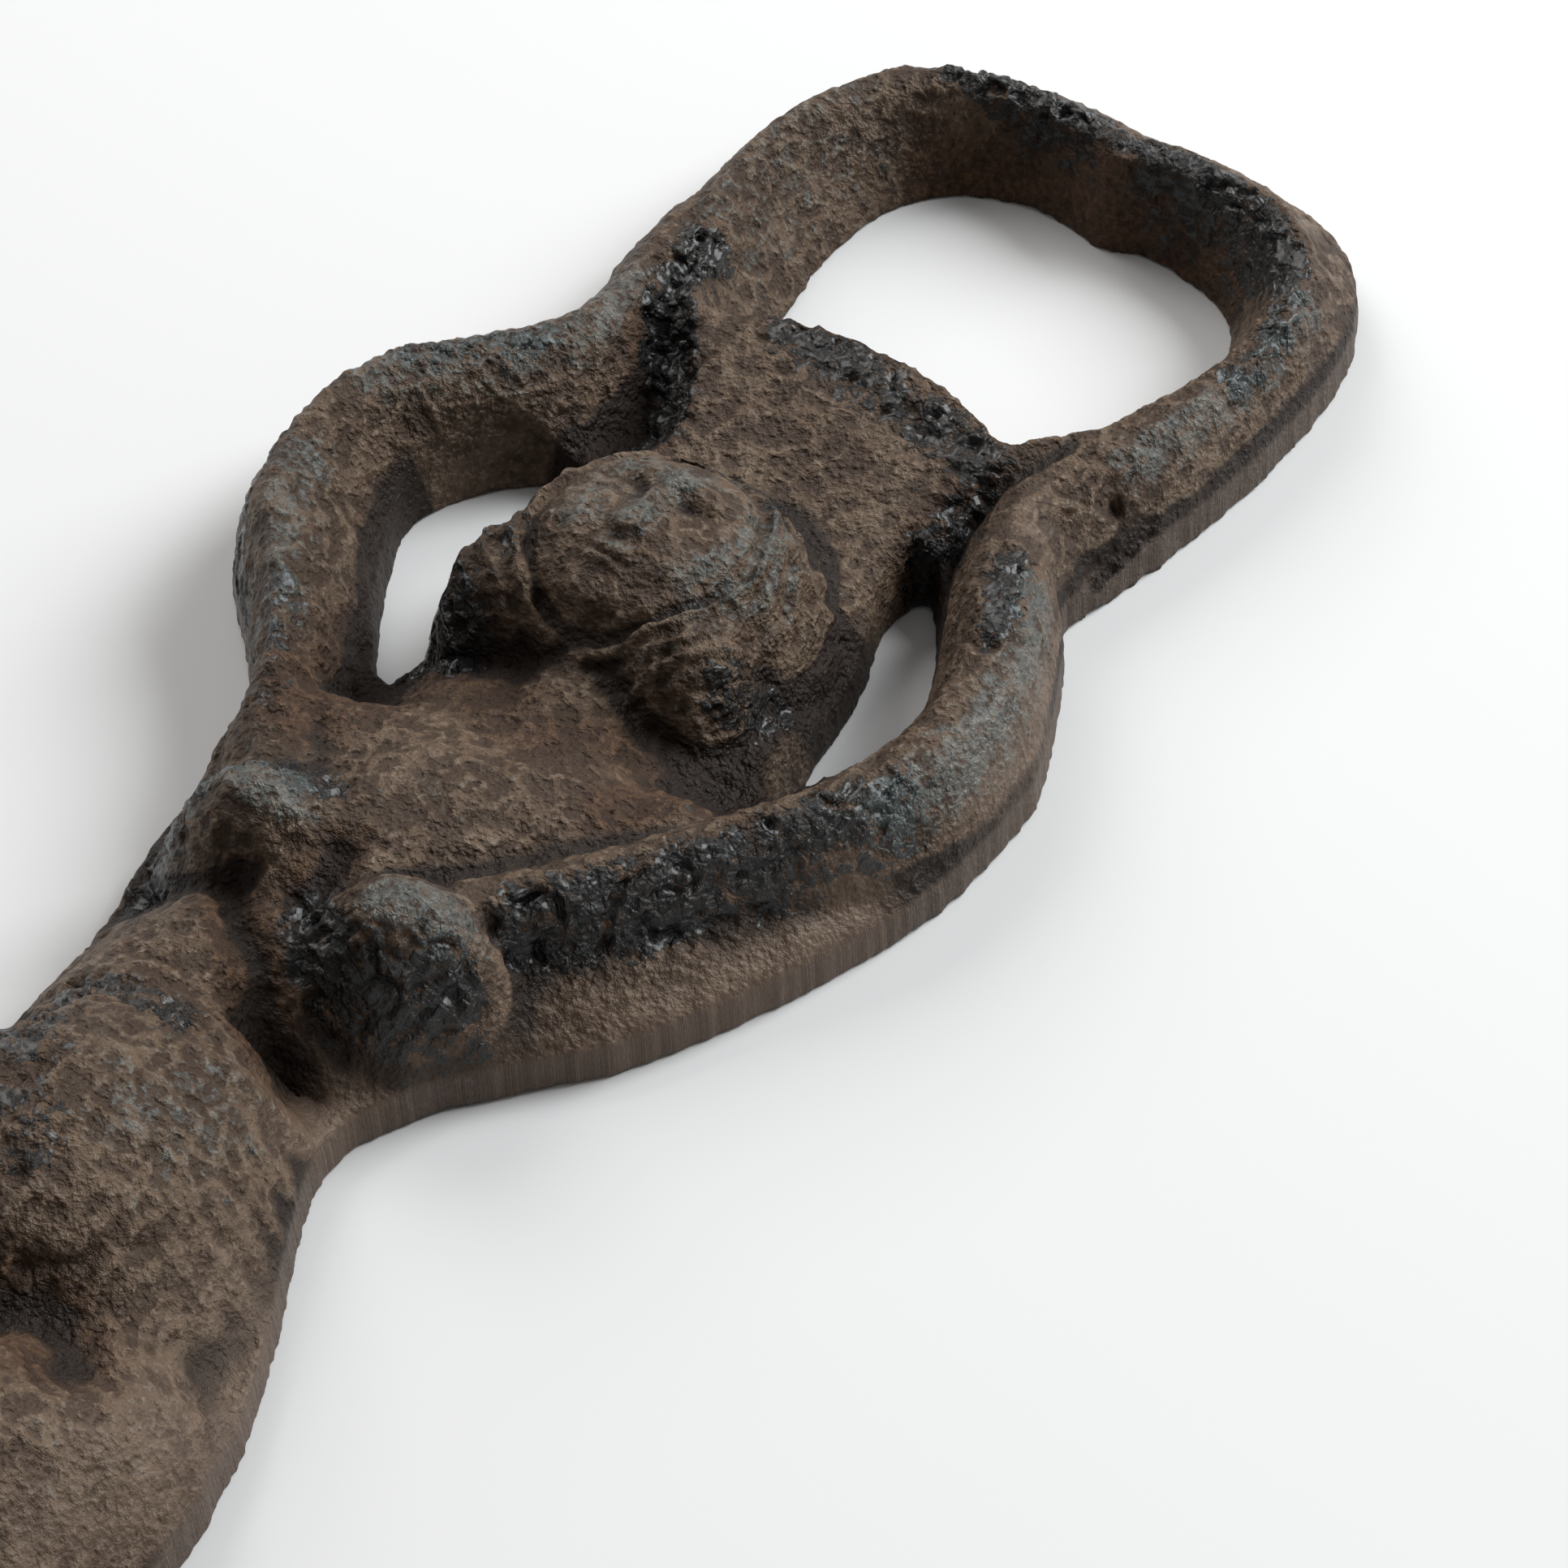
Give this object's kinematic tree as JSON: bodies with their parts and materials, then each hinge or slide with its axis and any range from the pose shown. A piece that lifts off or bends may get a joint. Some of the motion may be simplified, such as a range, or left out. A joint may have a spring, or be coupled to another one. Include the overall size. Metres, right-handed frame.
{
  "type": "bottle opener",
  "caption": "Flat-backed cast-iron figure whose raised arms run into a ring with a lifting lip for crown caps.",
  "frame": {"origin": "on the flat back, at the middle of the outline's box", "axes": "+Y from the toes to the ring, +Z out of the front, +X towards the figure's own left arm"},
  "size_m": [0.0536, 0.2, 0.0141],
  "materials": {
    "cast_iron_skin": "raw sand-cast iron, browned with age, black scale in patches, rubbed to a satin on the high spots"
  },
  "bodies": {
    "root": {"opener_ring": "cast_iron_skin", "cap_lifter_lip": "cast_iron_skin", "head": "cast_iron_skin", "right_forearm": "cast_iron_skin", "left_forearm": "cast_iron_skin", "right_upper_arm": "cast_iron_skin", "left_upper_arm": "cast_iron_skin", "chest": "cast_iron_skin", "abdomen": "cast_iron_skin", "hips": "cast_iron_skin", "right_thigh": "cast_iron_skin", "right_lower_leg": "cast_iron_skin", "right_foot": "cast_iron_skin", "left_thigh": "cast_iron_skin", "left_lower_leg": "cast_iron_skin", "left_foot": "cast_iron_skin"}
  },
  "joints": []
}
